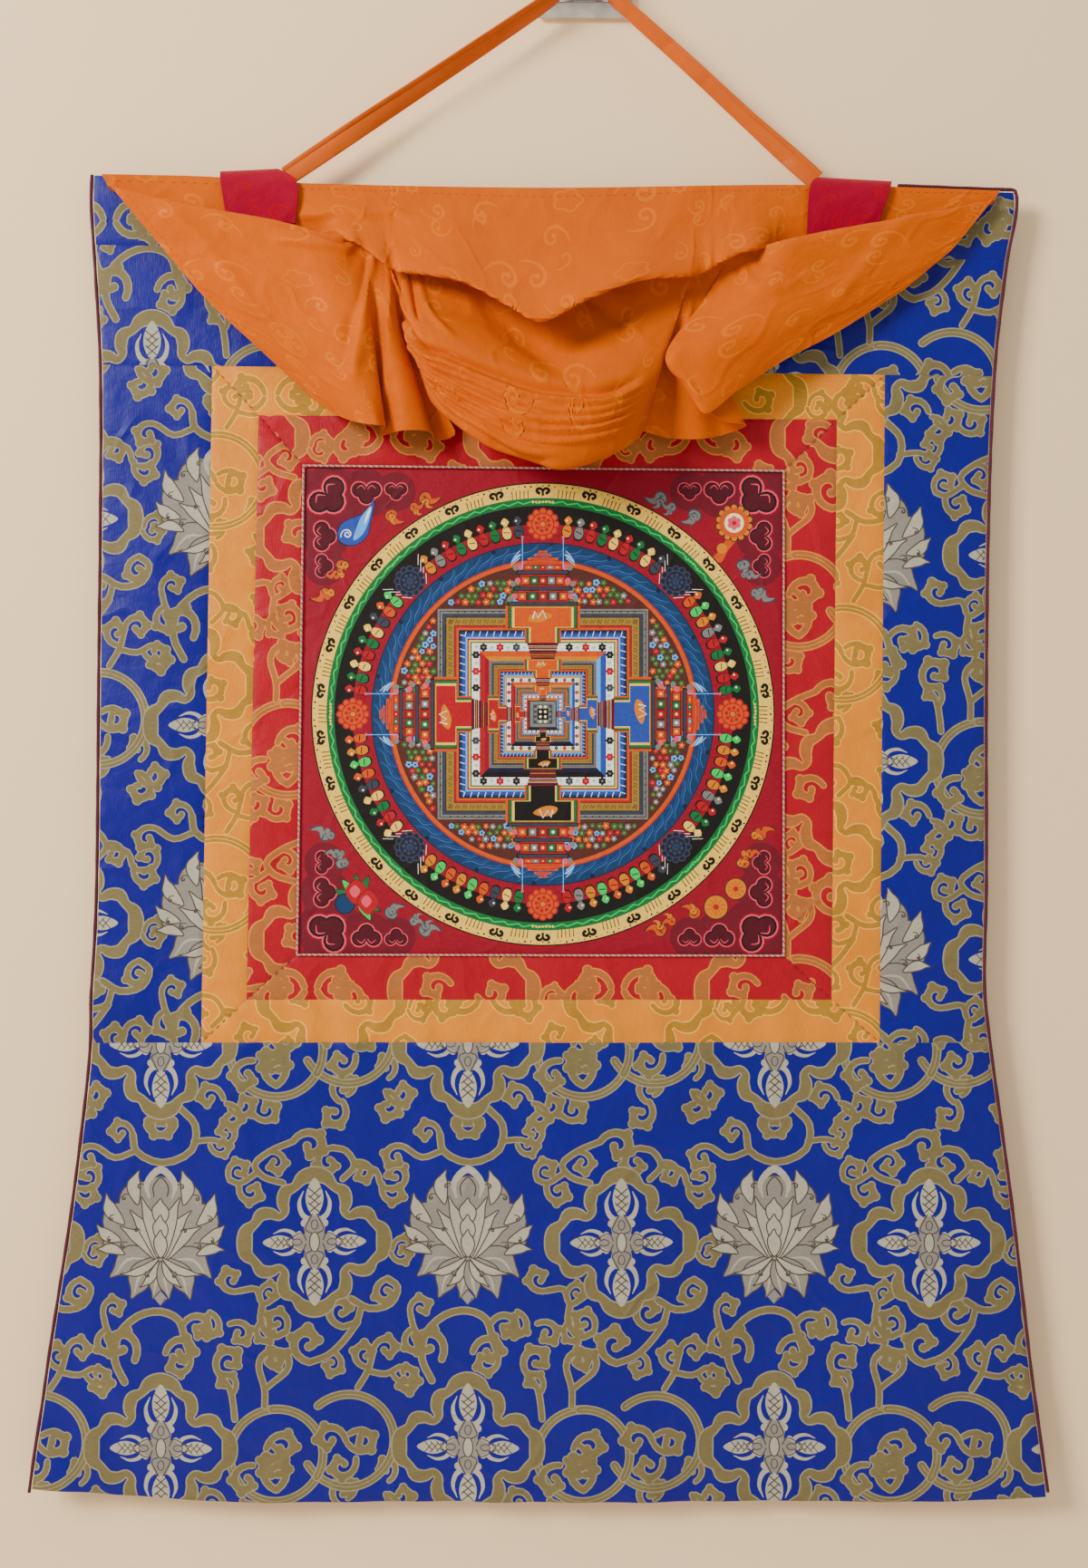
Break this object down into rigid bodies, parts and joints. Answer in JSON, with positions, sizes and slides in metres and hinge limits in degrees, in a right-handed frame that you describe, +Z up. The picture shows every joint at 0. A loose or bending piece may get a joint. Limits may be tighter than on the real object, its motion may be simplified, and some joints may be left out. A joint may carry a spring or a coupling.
{
  "type": "thangka scroll painting with wall hook",
  "caption": "Square painting framed in red, amber and blue brocade, with a gathered orange silk veil, hung by a ribbon on a small wall hook.",
  "frame": {"origin": "middle of the hook plate's back face, on the wall", "axes": "+X to the right as seen, +Y into the wall, +Z up"},
  "size_m": [0.6185, 0.0617, 0.9559],
  "materials": {
    "brushed_steel": "satin",
    "blue_brocade": "blue damask ground with khaki and silver figures",
    "amber_brocade": "amber ground with dull gold scrolls",
    "red_brocade": "red ground with dull gold scrolls",
    "painted_canvas": "matte painted cotton",
    "orange_silk": "thin figured silk, soft sheen",
    "orange_ribbon": "flat woven ribbon",
    "crimson_cloth": "crimson figured cloth",
    "maroon_piping": "rolled piping",
    "cream_cord": "twisted thread"
  },
  "bodies": {
    "root": {"hook_plate": "brushed_steel", "hook_tongue": "brushed_steel", "hanging_ribbon": "orange_ribbon", "left_tab": "crimson_cloth", "right_tab": "crimson_cloth", "veil": "orange_silk", "top_band": "blue_brocade", "upper_panel": "blue_brocade", "left_panel": "blue_brocade", "right_panel": "blue_brocade", "lower_panel": "blue_brocade", "gold_strip_top": "amber_brocade", "gold_strip_bottom": "amber_brocade", "gold_strip_left": "amber_brocade", "gold_strip_right": "amber_brocade", "red_strip_top": "red_brocade", "red_strip_bottom": "red_brocade", "red_strip_left": "red_brocade", "red_strip_right": "red_brocade", "painting": "painted_canvas", "painting_edge_cord": "cream_cord", "left_binding": "maroon_piping", "right_binding": "maroon_piping"}
  },
  "joints": []
}
